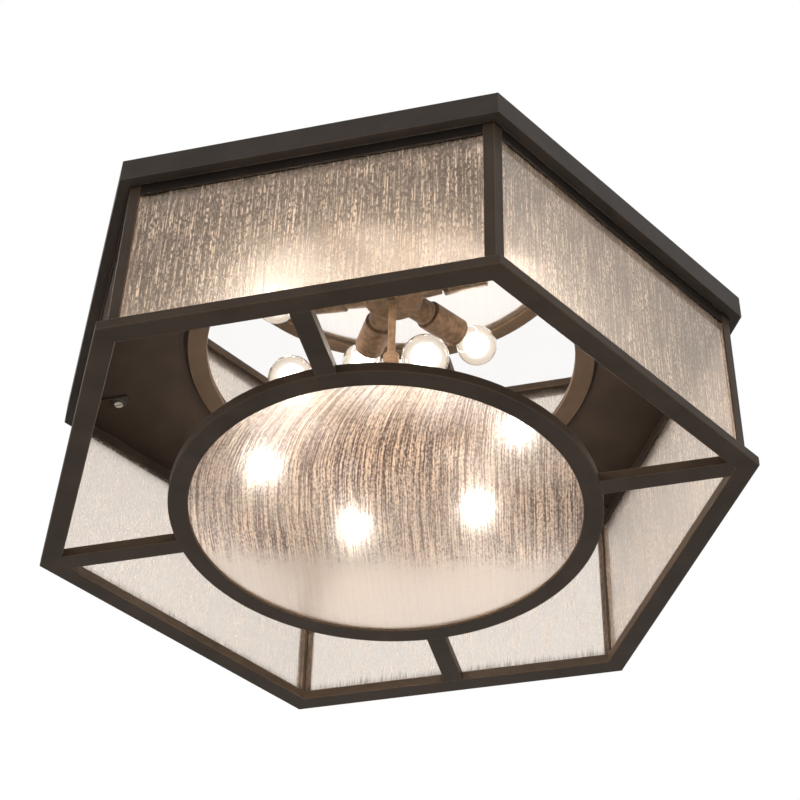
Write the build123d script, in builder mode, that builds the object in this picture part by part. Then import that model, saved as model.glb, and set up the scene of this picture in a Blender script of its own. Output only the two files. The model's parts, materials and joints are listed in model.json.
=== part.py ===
from build123d import *
import math
import os

os.makedirs("parts", exist_ok=True)

# Hexagonal lantern that hangs flush below a ceiling.
# The ceiling is the plane z = 0, the light hangs down from it, and one corner points along +X.

# Hexagon
side_count = 6
corner_step = 360 / side_count
half_step = corner_step / 2
corner_ratio = 1 / math.cos(math.radians(half_step))
side_ratio = math.tan(math.radians(half_step))

# Overall
overall_height = 214.0
body_across_flats = 590.6

# Band and plate against the ceiling
band_height = 26.0
band_sheet = 1.6
band_return = 9.7
cage_gap = 1.5
plate_sheet = 1.6
plate_recess = 6.4
gasket_width = 10.0
gasket_gap = 0.3

# Strap on the junction box
strap_length = 122.0
strap_width = 24.0
strap_sheet = 2.5
box_screw_spacing = 88.9
box_slot_length = 20.0
box_slot_width = 5.2

# Mirror and the ring that holds it
mirror_thickness = 3.0
mirror_lap = 14.0
mirror_edge_gap = 0.5
mirror_ring_bore = 187.0
mirror_ring_width = 19.5
mirror_ring_sheet = 2.8
ring_stud_count = 6
ring_stud_diameter = 4.0
ring_stud_stand = 4.4
ring_nut_flats = 7.0
ring_nut_height = 3.0

# Stem
stem_diameter = 8.0
stem_bore = 5.0
stem_fit = 0.1
stem_hole_gap = 1.0
stem_nut_flats = 14.0
hub_nut_height = 5.0
collar_diameter = 16.5
collar_height = 7.0
collar_chamfer = 1.2

# Hub of the lamp cluster
hub_drop = 95.0
hub_height = 33.0
hub_diameter = 62.0
hub_wall = 3.0
hub_edge_fillet = 5.0
cover_sheet = 2.0
finial_diameter = 18.0
finial_length = 12.0
finial_thread = 6.0
finial_wall_gap = 0.3
finial_fillet = 4.0
arm_diameter = 27.0
arm_bore = 12.0
arm_reach = 50.0

# Sockets
socket_tilt = 6.0
socket_axis_drop = 13.5
socket_diameter = 32.0
socket_wall = 1.2
socket_length = 46.0
socket_neck_diameter = 20.0
socket_neck_length = 3.0
socket_floor = 3.0
socket_edge = 1.5
liner_gap = 0.3
liner_wall = 1.0
liner_set_back = 2.0
contact_diameter = 10.0
contact_height = 1.7
contact_gap = 0.3

# Lamps
globe_diameter = 44.5
globe_reach = 31.7
glass_wall = 0.8
lamp_neck_diameter = 24.0
lamp_neck_blend = 15.0
lamp_neck_depth = 6.0
cap_diameter = 26.0
cap_length = 20.0
cap_set_back = 1.0
cap_bore_gap = 0.3
cap_bore_depth = 17.0
cap_cone_length = 5.0
cap_cone_end_diameter = 11.0
cap_tip_diameter = 9.0
cap_tip_length = 1.5

# Cage
angle_leg = 10.0
angle_sheet = 2.0
tab_sheet = 2.0
tab_width = 16.0
tab_end = 12.0
corner_screw_inset = 46.0
corner_screw_diameter = 4.0
corner_screw_head = 9.0
corner_screw_head_height = 3.4
corner_screw_socket = 1.6
corner_screw_slot = 1.4
corner_screw_stand = 4.6
corner_screw_hole_gap = 0.1
corner_nut_gap = 0.35
corner_nut_flats = 8.0
corner_nut_height = 3.2
rail_height = 12.0
rail_sheet = 2.0
rail_top_drop = 25.0
bar_width = 19.3
bar_height = 10.0
frame_overhang = 9.7
channel_wall = 2.5
channel_floor = 3.0
bar_edge = 0.6

# Glass of the sides and of the round window
glass_thickness = 3.0
glass_fit = 0.3
glass_edge_gap = 2.0
glass_head_room = 4.0
window_ring_bore = 187.0
window_lip = 4.0
window_lip_height = 2.4
window_glass_gap = 0.5
spoke_width = 19.0
spoke_step = 90.0

# Sizes that follow from the ones above
body_apothem = body_across_flats / 2
frame_apothem = body_apothem + frame_overhang
frame_inner_apothem = frame_apothem - bar_width
band_apothem = body_apothem + cage_gap + band_return
band_inner_apothem = band_apothem - band_sheet
body_corner = body_apothem * corner_ratio
body_half_side = body_apothem * side_ratio

plate_top = -plate_recess
plate_bottom = plate_top - plate_sheet
mirror_face = plate_bottom - mirror_thickness
frame_bottom = -overall_height
frame_floor = frame_bottom + channel_floor
rail_top = -rail_top_drop
rail_bottom = rail_top - rail_height

stem_radius = stem_diameter / 2
mirror_radius = mirror_ring_bore + mirror_lap
mirror_ring_outer = mirror_ring_bore + mirror_ring_width
mirror_lip_bore = mirror_radius + mirror_edge_gap
ring_stud_circle = (mirror_lip_bore + mirror_ring_outer) / 2
ring_stud_radius = ring_stud_diameter / 2
corner_screw_radius = corner_screw_diameter / 2
corner_screw_circle = body_corner - corner_screw_inset

hub_top = -hub_drop
hub_bottom = hub_top - hub_height
hub_radius = hub_diameter / 2
cover_bottom = hub_bottom - cover_sheet
stem_bottom = cover_bottom - finial_thread
socket_axis_height = hub_top - socket_axis_drop
socket_start = arm_reach + socket_neck_length
socket_end = socket_start + socket_length
socket_bore_radius = socket_diameter / 2 - socket_wall
liner_radius = socket_bore_radius - liner_gap
cap_end = socket_end - cap_set_back
cap_start = cap_end - cap_length
tip_end = cap_start - cap_cone_length - cap_tip_length
contact_top = tip_end - contact_gap
liner_floor_top = contact_top - contact_height
globe_centre = socket_end + globe_reach
globe_radius = globe_diameter / 2

glass_outer = body_apothem - angle_sheet - glass_fit
glass_inner = glass_outer - glass_thickness
rail_slot_outer = body_apothem - rail_sheet
rail_slot_inner = glass_inner - glass_fit
rail_inner = rail_slot_inner - rail_sheet
rail_half_length = body_half_side - angle_leg
window_rabbet = window_ring_bore + window_lip
window_ring_outer = window_ring_bore + bar_width


def turned_plane(turn, height):
    """Level plane at a height, with its x axis turned from +X by an angle in degrees."""
    angle = math.radians(turn)
    return Plane(origin=(0, 0, height), x_dir=(math.cos(angle), math.sin(angle), 0), z_dir=(0, 0, 1))


def socket_direction(turn):
    """Unit vector along a socket, out from the stem and tilted down."""
    angle = math.radians(turn)
    tilt = math.radians(socket_tilt)
    return (math.cos(tilt) * math.cos(angle), math.cos(tilt) * math.sin(angle), -math.sin(tilt))


def socket_plane(turn, reach):
    """Plane across a socket, at a distance along its axis from the stem."""
    angle = math.radians(turn)
    sideways = (-math.sin(angle), math.cos(angle), 0)
    start = Plane(origin=(0, 0, socket_axis_height), x_dir=sideways, z_dir=socket_direction(turn))
    return start.offset(reach)


def socket_section(turn):
    """Plane along a socket: its x axis runs out from the stem along the socket's axis."""
    angle = math.radians(turn)
    sideways = (-math.sin(angle), math.cos(angle), 0)
    return Plane(origin=(0, 0, socket_axis_height), x_dir=socket_direction(turn), z_dir=sideways)


def socket_axis(turn):
    """Centre line of a socket."""
    return Axis((0, 0, socket_axis_height), socket_direction(turn))


def lamp_points(inset):
    """Points of a lamp's glass outline, set in from the outside by a distance.

    They are the neck's end, the start and end of the blend, a point on the globe, and its tip.
    Two more points give the middles of the blend and of the globe's arc.
    """
    neck = lamp_neck_diameter / 2 - inset
    blend = lamp_neck_blend + inset
    globe = globe_radius - inset
    rise = neck + blend
    run = math.sqrt((globe + blend) ** 2 - rise ** 2)
    blend_centre = globe_centre - run
    join_angle = math.atan2(rise, run)
    middle_angle = (math.pi / 2 + join_angle) / 2
    neck_end = (cap_end - lamp_neck_depth, neck)
    blend_start = (blend_centre, neck)
    blend_middle = (blend_centre + blend * math.cos(middle_angle), rise - blend * math.sin(middle_angle))
    blend_end = (blend_centre + blend * math.cos(join_angle), rise - blend * math.sin(join_angle))
    globe_angle = (math.pi - join_angle) / 2
    globe_middle = (globe_centre + globe * math.cos(globe_angle), globe * math.sin(globe_angle))
    tip = (globe_centre + globe, 0)
    return neck_end, blend_start, blend_middle, blend_end, globe_middle, tip


corner_turns = [index * corner_step for index in range(side_count)]
side_turns = [turn + half_step for turn in corner_turns]
spoke_turns = [index * spoke_step for index in range(round(360 / spoke_step))]

# Plate that carries the mirror and the cluster, set in below the ceiling
with BuildPart() as ceiling_plate:
    with BuildSketch(Plane.XY.offset(plate_bottom)):
        RegularPolygon(band_inner_apothem, side_count, major_radius=False)
        Circle(stem_radius + stem_fit, mode=Mode.SUBTRACT)
        with PolarLocations(ring_stud_circle, ring_stud_count, start_angle=half_step):
            Circle(ring_stud_radius + stem_fit, mode=Mode.SUBTRACT)
        with PolarLocations(corner_screw_circle, side_count):
            Circle(corner_screw_radius + corner_nut_gap, mode=Mode.SUBTRACT)
    extrude(amount=plate_sheet)
ceiling_plate.part.label = "ceiling_plate"
export_step(ceiling_plate.part, "parts/ceiling_plate.step")

# Band round the plate, folded in at its lower edge
with BuildPart() as ceiling_band:
    with BuildSketch(Plane.XY.offset(-band_height)):
        RegularPolygon(band_apothem, side_count, major_radius=False)
        RegularPolygon(band_inner_apothem, side_count, major_radius=False, mode=Mode.SUBTRACT)
    extrude(amount=band_height)
    with BuildSketch(Plane.XY.offset(-band_height)):
        RegularPolygon(band_apothem, side_count, major_radius=False)
        RegularPolygon(band_apothem - band_return, side_count, major_radius=False, mode=Mode.SUBTRACT)
    extrude(amount=band_sheet)
ceiling_band.part.label = "ceiling_band"
export_step(ceiling_band.part, "parts/ceiling_band.step")

# Foam strip between the plate and the ceiling
gasket_apothem = band_inner_apothem - gasket_gap
with BuildPart() as ceiling_gasket:
    with BuildSketch(Plane.XY.offset(plate_top)):
        RegularPolygon(gasket_apothem, side_count, major_radius=False)
        RegularPolygon(gasket_apothem - gasket_width, side_count, major_radius=False, mode=Mode.SUBTRACT)
    extrude(amount=plate_recess)
ceiling_gasket.part.label = "ceiling_gasket"
export_step(ceiling_gasket.part, "parts/ceiling_gasket.step")

# Strap that screws to the junction box and carries the stem
with BuildPart() as mounting_strap:
    with BuildSketch(Plane.XY.offset(-strap_sheet)):
        SlotOverall(strap_length, strap_width)
        Circle(stem_radius + stem_fit, mode=Mode.SUBTRACT)
        with GridLocations(box_screw_spacing, 0, 2, 1):
            SlotOverall(box_slot_length, box_slot_width, mode=Mode.SUBTRACT)
    extrude(amount=strap_sheet)
mounting_strap.part.label = "mounting_strap"
export_step(mounting_strap.part, "parts/mounting_strap.step")

# Hollow stem from the strap down to the finial, with room for the wires
with BuildPart() as stem:
    with BuildSketch(Plane.XY.offset(stem_bottom)):
        Circle(stem_radius)
        Circle(stem_bore / 2, mode=Mode.SUBTRACT)
    extrude(amount=-stem_bottom)
stem.part.label = "stem"
export_step(stem.part, "parts/stem.step")

# Nut between the strap and the plate, and nut on top of the hub
with BuildPart() as stem_nuts:
    for nut_bottom, nut_height in ((plate_top, plate_recess - strap_sheet), (hub_top, hub_nut_height)):
        with BuildSketch(Plane.XY.offset(nut_bottom)):
            RegularPolygon(stem_nut_flats / 2, 6, major_radius=False)
            Circle(stem_radius + stem_fit, mode=Mode.SUBTRACT)
        extrude(amount=nut_height)
stem_nuts.part.label = "stem_nuts"
export_step(stem_nuts.part, "parts/stem_nuts.step")

# Round collar that clamps the plate and the mirror against the upper nut
with BuildPart() as stem_collar:
    with BuildSketch(Plane.XY.offset(mirror_face)):
        Circle(collar_diameter / 2)
    extrude(amount=-collar_height)
    chamfer(stem_collar.edges().filter_by(GeomType.CIRCLE).sort_by(Axis.Z)[0], collar_chamfer)
    with Locations((0, 0, mirror_face)):
        Hole(stem_radius + stem_fit)
stem_collar.part.label = "stem_collar"
export_step(stem_collar.part, "parts/stem_collar.step")

# Round mirror under the plate
with BuildPart() as mirror_disc:
    with BuildSketch(Plane.XY.offset(mirror_face)):
        Circle(mirror_radius)
        Circle(stem_radius + stem_hole_gap, mode=Mode.SUBTRACT)
    extrude(amount=mirror_thickness)
mirror_disc.part.label = "mirror_disc"
export_step(mirror_disc.part, "parts/mirror_disc.step")

# Ring that laps the mirror's edge, with studs up through the plate
with BuildPart() as mirror_ring:
    with BuildSketch(Plane.XY.offset(mirror_face)):
        Circle(mirror_ring_outer)
        Circle(mirror_ring_bore, mode=Mode.SUBTRACT)
    extrude(amount=-mirror_ring_sheet)
    with BuildSketch(Plane.XY.offset(mirror_face)):
        Circle(mirror_ring_outer)
        Circle(mirror_lip_bore, mode=Mode.SUBTRACT)
    extrude(amount=mirror_thickness)
    with BuildSketch(Plane.XY.offset(plate_bottom)):
        with PolarLocations(ring_stud_circle, ring_stud_count, start_angle=half_step):
            Circle(ring_stud_radius)
    extrude(amount=plate_sheet + ring_stud_stand)
mirror_ring.part.label = "mirror_ring"
export_step(mirror_ring.part, "parts/mirror_ring.step")

# Nuts on the ring's studs
with BuildPart() as mirror_ring_nuts:
    with BuildSketch(Plane.XY.offset(plate_top)):
        with PolarLocations(ring_stud_circle, ring_stud_count, start_angle=half_step):
            RegularPolygon(ring_nut_flats / 2, 6, major_radius=False)
            Circle(ring_stud_radius + stem_fit, mode=Mode.SUBTRACT)
    extrude(amount=ring_nut_height)
mirror_ring_nuts.part.label = "mirror_ring_nuts"
export_step(mirror_ring_nuts.part, "parts/mirror_ring_nuts.step")

# Nuts welded on the plate for the corner screws
with BuildPart() as corner_nuts:
    with BuildSketch(Plane.XY.offset(plate_top)):
        with PolarLocations(corner_screw_circle, side_count):
            RegularPolygon(corner_nut_flats / 2, 6, major_radius=False)
            Circle(corner_screw_radius + corner_nut_gap, mode=Mode.SUBTRACT)
    extrude(amount=corner_nut_height)
corner_nuts.part.label = "corner_nuts"
export_step(corner_nuts.part, "parts/corner_nuts.step")

# Hub of the cluster: a cup open at the bottom, with an arm towards each corner
with BuildPart() as cluster_hub:
    with BuildSketch(Plane.XY.offset(hub_bottom)):
        Circle(hub_radius)
    extrude(amount=hub_height)
    fillet(cluster_hub.edges().filter_by(GeomType.CIRCLE).sort_by(Axis.Z)[-1], hub_edge_fillet)
    for turn in corner_turns:
        with BuildSketch(socket_plane(turn, hub_radius / 2)):
            Circle(arm_diameter / 2)
        extrude(amount=arm_reach - hub_radius / 2)
    with BuildSketch(Plane.XY.offset(hub_bottom)):
        Circle(hub_radius - hub_wall)
    extrude(amount=hub_height - hub_wall, mode=Mode.SUBTRACT)
    for turn in corner_turns:
        with BuildSketch(socket_plane(turn, hub_radius / 2)):
            Circle(arm_bore / 2)
        extrude(amount=arm_reach - hub_radius / 2, mode=Mode.SUBTRACT)
    with BuildSketch(Plane.XY.offset(hub_top)):
        Circle(stem_radius + stem_fit)
    extrude(amount=-hub_height, mode=Mode.SUBTRACT)
cluster_hub.part.label = "cluster_hub"
export_step(cluster_hub.part, "parts/cluster_hub.step")

# Cover that closes the hub from below
with BuildPart() as hub_cover:
    with BuildSketch(Plane.XY.offset(cover_bottom)):
        Circle(hub_radius)
        Circle(stem_radius + stem_fit, mode=Mode.SUBTRACT)
    extrude(amount=cover_sheet)
hub_cover.part.label = "hub_cover"
export_step(hub_cover.part, "parts/hub_cover.step")

# Finial on the end of the stem, which holds the cover and the hub up
with BuildPart() as hub_finial:
    with BuildSketch(Plane.XY.offset(cover_bottom)):
        Circle(finial_diameter / 2)
    extrude(amount=-finial_length)
    fillet(hub_finial.edges().filter_by(GeomType.CIRCLE).sort_by(Axis.Z)[0], finial_fillet)
    with BuildSketch(Plane.XY.offset(cover_bottom)):
        Circle(stem_radius + stem_fit)
    extrude(amount=-(finial_thread + finial_wall_gap), mode=Mode.SUBTRACT)
hub_finial.part.label = "hub_finial"
export_step(hub_finial.part, "parts/hub_finial.step")

# Socket shells, each with a neck against an arm of the hub
for number, turn in enumerate(corner_turns, start=1):
    with BuildPart() as socket_shell:
        with BuildSketch(socket_plane(turn, socket_start)):
            Circle(socket_diameter / 2)
        extrude(amount=socket_length)
        fillet(socket_shell.edges().filter_by(GeomType.CIRCLE), socket_edge / 2)
        with BuildSketch(socket_plane(turn, arm_reach)):
            Circle(socket_neck_diameter / 2)
        extrude(amount=socket_neck_length + socket_floor)
        with BuildSketch(socket_plane(turn, socket_start + socket_floor)):
            Circle(socket_bore_radius)
        extrude(amount=socket_length - socket_floor, mode=Mode.SUBTRACT)
        with BuildSketch(socket_plane(turn, arm_reach)):
            Circle(arm_bore / 2)
        extrude(amount=socket_neck_length + socket_floor, mode=Mode.SUBTRACT)
    socket_shell.part.label = f"socket_shell_{number}"
    export_step(socket_shell.part, f"parts/{socket_shell.part.label}.step")

# Insulating liners inside the shells
liner_start = socket_start + socket_floor
liner_end = socket_end - liner_set_back
with BuildPart() as socket_liners:
    for turn in corner_turns:
        with BuildSketch(socket_plane(turn, liner_start)):
            Circle(liner_radius)
        extrude(amount=liner_end - liner_start)
        with BuildSketch(socket_plane(turn, liner_floor_top)):
            Circle(liner_radius - liner_wall)
        extrude(amount=liner_end - liner_floor_top, mode=Mode.SUBTRACT)
socket_liners.part.label = "socket_liners"
export_step(socket_liners.part, "parts/socket_liners.step")

# Centre contacts on the floors of the liners
with BuildPart() as socket_contacts:
    for turn in corner_turns:
        with BuildSketch(socket_plane(turn, liner_floor_top)):
            Circle(contact_diameter / 2)
        extrude(amount=contact_height)
socket_contacts.part.label = "socket_contacts"
export_step(socket_contacts.part, "parts/socket_contacts.step")

# Lamps: a hollow globe on a neck, and a screw cap that takes the neck
for number, turn in enumerate(corner_turns, start=1):
    outside = lamp_points(0)
    inside = lamp_points(glass_wall)
    with BuildPart() as bulb_glass:
        with BuildSketch(socket_section(turn)):
            with BuildLine():
                for neck_end, blend_start, blend_middle, blend_end, globe_middle, tip in (outside, inside):
                    Line(neck_end, blend_start)
                    ThreePointArc(blend_start, blend_middle, blend_end)
                    ThreePointArc(blend_end, globe_middle, tip)
                Line(outside[0], inside[0])
                Line(outside[-1], inside[-1])
            make_face()
        revolve(axis=socket_axis(turn))
    bulb_glass.part.label = f"bulb_glass_{number}"
    export_step(bulb_glass.part, f"parts/{bulb_glass.part.label}.step")

    with BuildPart() as bulb_cap:
        with BuildSketch(socket_section(turn)):
            with BuildLine():
                Polyline(
                    (tip_end, 0),
                    (tip_end, cap_tip_diameter / 2),
                    (tip_end + cap_tip_length, cap_tip_diameter / 2),
                    (tip_end + cap_tip_length, cap_cone_end_diameter / 2),
                    (cap_start, cap_diameter / 2),
                    (cap_end, cap_diameter / 2),
                    (cap_end, lamp_neck_diameter / 2 + cap_bore_gap),
                    (cap_end - cap_bore_depth, lamp_neck_diameter / 2 + cap_bore_gap),
                    (cap_end - cap_bore_depth, 0),
                    close=True,
                )
            make_face()
        revolve(axis=socket_axis(turn))
    bulb_cap.part.label = f"bulb_cap_{number}"
    export_step(bulb_cap.part, f"parts/{bulb_cap.part.label}.step")

# Corner bars: bent angles that stand in the bottom channel, with a tab under the plate
leg_along = (-math.sin(math.radians(half_step)), math.cos(math.radians(half_step)))
leg_in = (-math.cos(math.radians(half_step)), -math.sin(math.radians(half_step)))
leg_end = (body_corner + angle_leg * leg_along[0], angle_leg * leg_along[1])
leg_inside = (leg_end[0] + angle_sheet * leg_in[0], leg_end[1] + angle_sheet * leg_in[1])
inner_corner = body_corner - angle_sheet * corner_ratio
tab_side = inner_corner - tab_width / 2 * side_ratio
tab_start = corner_screw_circle - tab_end
for number, turn in enumerate(corner_turns, start=1):
    with BuildPart() as corner_bar:
        with BuildSketch(turned_plane(turn, frame_floor)):
            with BuildLine():
                Polyline(
                    (body_corner, 0),
                    leg_end,
                    leg_inside,
                    (inner_corner, 0),
                    (leg_inside[0], -leg_inside[1]),
                    (leg_end[0], -leg_end[1]),
                    close=True,
                )
            make_face()
        extrude(amount=plate_bottom - frame_floor)
        with BuildSketch(turned_plane(turn, plate_bottom)):
            with BuildLine():
                Polyline(
                    (tab_start, -tab_width / 2),
                    (tab_side, -tab_width / 2),
                    (inner_corner, 0),
                    (tab_side, tab_width / 2),
                    (tab_start, tab_width / 2),
                    close=True,
                )
            make_face()
            with Locations((corner_screw_circle, 0)):
                Circle(corner_screw_radius + corner_screw_hole_gap, mode=Mode.SUBTRACT)
        extrude(amount=-tab_sheet)
    corner_bar.part.label = f"corner_bar_{number}"
    export_step(corner_bar.part, f"parts/{corner_bar.part.label}.step")

# Screws that hold the cage's tabs up to the plate
screw_head_top = plate_bottom - tab_sheet
screw_head_bottom = screw_head_top - corner_screw_head_height
with BuildPart() as corner_screws:
    with BuildSketch(Plane.XY.offset(screw_head_bottom)):
        with PolarLocations(corner_screw_circle, side_count):
            Circle(corner_screw_head / 2)
    extrude(amount=corner_screw_head_height)
    with BuildSketch(Plane.XY.offset(screw_head_top)):
        with PolarLocations(corner_screw_circle, side_count):
            Circle(corner_screw_radius)
    extrude(amount=tab_sheet + plate_sheet + corner_screw_stand)
    with BuildSketch(Plane.XY.offset(screw_head_bottom)):
        with PolarLocations(corner_screw_circle, side_count):
            Rectangle(corner_screw_head, corner_screw_slot)
    extrude(amount=corner_screw_socket, mode=Mode.SUBTRACT)
corner_screws.part.label = "corner_screws"
export_step(corner_screws.part, "parts/corner_screws.step")

# Top rails: channels open downwards, one along each side between two corner bars
rail_middle = (body_apothem + rail_inner) / 2
slot_middle = (rail_slot_outer + rail_slot_inner) / 2
for number, turn in enumerate(side_turns, start=1):
    with BuildPart() as top_rail:
        with BuildSketch(turned_plane(turn, rail_bottom)):
            with Locations((rail_middle, 0)):
                Rectangle(body_apothem - rail_inner, 2 * rail_half_length)
        extrude(amount=rail_height)
        with BuildSketch(turned_plane(turn, rail_bottom)):
            with Locations((slot_middle, 0)):
                Rectangle(rail_slot_outer - rail_slot_inner, 2 * rail_half_length)
        extrude(amount=rail_height - rail_sheet, mode=Mode.SUBTRACT)
    top_rail.part.label = f"top_rail_{number}"
    export_step(top_rail.part, f"parts/{top_rail.part.label}.step")

# Side glasses: their feet stand in the bottom channel and their heads in the top rails
glass_half_width = glass_inner * side_ratio - glass_edge_gap
glass_top = rail_top - rail_sheet - glass_head_room
glass_middle = (glass_outer + glass_inner) / 2
for number, turn in enumerate(side_turns, start=1):
    with BuildPart() as glass_panel:
        with BuildSketch(turned_plane(turn, frame_floor)):
            with Locations((glass_middle, 0)):
                Rectangle(glass_thickness, 2 * glass_half_width)
        extrude(amount=glass_top - frame_floor)
    glass_panel.part.label = f"glass_panel_{number}"
    export_step(glass_panel.part, f"parts/{glass_panel.part.label}.step")

# Bottom frame: a hexagon of channel, open upwards
with BuildPart() as bottom_frame:
    with BuildSketch(Plane.XY.offset(frame_bottom)):
        RegularPolygon(frame_apothem, side_count, major_radius=False)
        RegularPolygon(frame_inner_apothem, side_count, major_radius=False, mode=Mode.SUBTRACT)
    extrude(amount=bar_height)
    chamfer(bottom_frame.faces().sort_by(Axis.Z)[0].edges(), bar_edge)
    with BuildSketch(Plane.XY.offset(frame_floor)):
        RegularPolygon(frame_apothem - channel_wall, side_count, major_radius=False)
        RegularPolygon(
            frame_inner_apothem + channel_wall, side_count, major_radius=False, mode=Mode.SUBTRACT
        )
    extrude(amount=bar_height - channel_floor, mode=Mode.SUBTRACT)
bottom_frame.part.label = "bottom_frame"
export_step(bottom_frame.part, "parts/bottom_frame.step")

# Ring of the round window, with a lip that the glass lies on
with BuildPart() as window_ring:
    with BuildSketch(Plane.XY.offset(frame_bottom)):
        Circle(window_ring_outer)
        Circle(window_ring_bore, mode=Mode.SUBTRACT)
    extrude(amount=bar_height)
    chamfer(window_ring.faces().sort_by(Axis.Z)[0].edges(), bar_edge)
    with BuildSketch(Plane.XY.offset(frame_bottom + window_lip_height)):
        Circle(window_rabbet)
    extrude(amount=bar_height - window_lip_height, mode=Mode.SUBTRACT)
window_ring.part.label = "window_ring"
export_step(window_ring.part, "parts/window_ring.step")

# Spokes from the ring to the frame: two reach into corners, two meet the middles of sides
for number, turn in enumerate(spoke_turns, start=1):
    with BuildPart() as spoke:
        with BuildSketch(turned_plane(turn, frame_bottom)):
            with Locations((frame_apothem, 0)):
                Rectangle(2 * frame_apothem, spoke_width)
            RegularPolygon(
                frame_inner_apothem, side_count, major_radius=False, rotation=-turn, mode=Mode.INTERSECT
            )
            Circle(window_ring_outer, mode=Mode.SUBTRACT)
        extrude(amount=bar_height)
    spoke.part.label = f"spoke_{number}"
    export_step(spoke.part, f"parts/{spoke.part.label}.step")

# Round glass that lies loose on the ring's lip
with BuildPart() as window_glass:
    with BuildSketch(Plane.XY.offset(frame_bottom + window_lip_height)):
        Circle(window_rabbet - window_glass_gap)
    extrude(amount=glass_thickness)
window_glass.part.label = "window_glass"
export_step(window_glass.part, "parts/window_glass.step")
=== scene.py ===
"""Looks of a hexagonal flush mount ceiling light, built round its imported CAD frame."""

import json
import logging
import math
from dataclasses import dataclass
from enum import Enum
from typing import Any, ClassVar, Iterable

import bpy
from bpy.types import Material, Mesh, Node, NodeSocket, NodeTree, Object
from mathutils import Matrix, Vector

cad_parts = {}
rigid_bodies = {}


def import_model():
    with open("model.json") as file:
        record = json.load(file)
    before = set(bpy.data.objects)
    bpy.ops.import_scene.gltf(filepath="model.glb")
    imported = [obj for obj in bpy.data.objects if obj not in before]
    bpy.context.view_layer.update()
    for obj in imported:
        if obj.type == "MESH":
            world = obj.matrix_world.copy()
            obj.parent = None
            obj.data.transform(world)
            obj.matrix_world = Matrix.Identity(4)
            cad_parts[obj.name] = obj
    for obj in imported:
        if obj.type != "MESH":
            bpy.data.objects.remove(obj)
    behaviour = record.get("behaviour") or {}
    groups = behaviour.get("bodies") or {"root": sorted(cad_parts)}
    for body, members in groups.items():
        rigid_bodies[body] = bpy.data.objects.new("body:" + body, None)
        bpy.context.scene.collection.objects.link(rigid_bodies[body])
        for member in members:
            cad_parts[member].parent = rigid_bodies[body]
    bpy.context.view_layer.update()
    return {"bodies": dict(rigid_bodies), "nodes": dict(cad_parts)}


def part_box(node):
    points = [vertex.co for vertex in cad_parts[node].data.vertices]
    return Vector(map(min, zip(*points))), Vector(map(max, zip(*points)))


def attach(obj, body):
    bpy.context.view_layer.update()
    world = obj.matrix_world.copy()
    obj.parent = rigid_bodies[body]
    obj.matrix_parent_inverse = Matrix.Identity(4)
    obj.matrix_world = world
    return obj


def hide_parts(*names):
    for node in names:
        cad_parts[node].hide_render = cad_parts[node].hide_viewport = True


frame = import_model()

LOG = logging.getLogger("ceiling_light")
MM = 0.001
SIDES = 6
SIDE_STEP = 360.0 / SIDES
WHITE = "#ffffff"
GLASS_IOR = 1.5
Span = tuple[float, float]
FULL: Span = (0.0, 1.0)

MATH = "ShaderNodeMath"
RANGE = "ShaderNodeMapRange"
NOISE = "ShaderNodeTexNoise"
COLOUR_MIX = "ShaderNodeMix"
SHADER_MIX = "ShaderNodeMixShader"
PRINCIPLED = "ShaderNodeBsdfPrincipled"
BUMP = "ShaderNodeBump"
SPLIT = "ShaderNodeSeparateXYZ"
JOIN = "ShaderNodeCombineXYZ"
MOVE = "GeometryNodeSetPosition"


class Body(Enum):
    """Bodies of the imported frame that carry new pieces, apart from the lamps' own."""

    CAGE = "cage"
    WINDOW = "window"


class Slot(Enum):
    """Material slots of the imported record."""

    SEEDED_GLASS = "seeded_glass"
    LAMP_GLASS = "lamp_glass"
    LAMP_CAP = "lamp_cap_brass"
    LINER = "phenolic_liner"


def linear(code: str) -> tuple[float, float, float, float]:
    """Turns an sRGB hex colour to a linear one.

    Args:
        code: Colour as six hex digits after a hash sign.

    Returns:
        Linear red, green, blue and an alpha of one.
    """
    parts = [int(code[i:i + 2], 16) / 255 for i in (1, 3, 5)]
    red, green, blue = (c / 12.92 if c <= 0.04045 else ((c + 0.055) / 1.055) ** 2.4 for c in parts)
    return red, green, blue, 1.0


def per_mm(size_mm: float) -> float:
    """Gives the texture scale, per metre, of a pattern whose features are size_mm wide."""
    return 1.0 / (size_mm * MM)


def add_node(tree: NodeTree, kind: str, sockets: dict[Any, Any] | None = None, **settings: Any) -> Node:
    """Adds a node with its settings, values and links.

    Args:
        tree: Node tree that gets the node.
        kind: Blender's name of the node's type.
        sockets: Input name or index, with a value, an output socket to link or a node to link from.
        **settings: Properties of the node.

    Returns:
        The new node.
    """
    node = tree.nodes.new(kind)
    for name, value in settings.items():
        setattr(node, name, value)
    for key, value in (sockets or {}).items():
        if isinstance(value, Node):
            value = next(output for output in value.outputs if output.enabled)
        if isinstance(value, NodeSocket):
            tree.links.new(value, node.inputs[key])
        else:
            node.inputs[key].default_value = value
    return node


def spans(source: tuple[Any, Any], target: Span = FULL) -> dict[str, Any]:
    """Gives the socket values that map one span of values to another."""
    return dict(zip(("From Min", "From Max", "To Min", "To Max"), (*source, *target)))


def new_material(name: str) -> tuple[Material, NodeTree, NodeSocket]:
    """Starts a node material.

    Args:
        name: Name of the real material.

    Returns:
        The material, its node tree and the piece's own coordinates there.
    """
    material = bpy.data.materials.new(name)
    material.use_nodes = True
    tree = material.node_tree
    tree.nodes.clear()
    return material, tree, add_node(tree, "ShaderNodeTexCoord").outputs["Object"]


def end_material(material: Material, shader: Node) -> Material:
    """Links a shader to the material's output and gives the material."""
    add_node(material.node_tree, "ShaderNodeOutputMaterial", {"Surface": shader})
    return material


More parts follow.
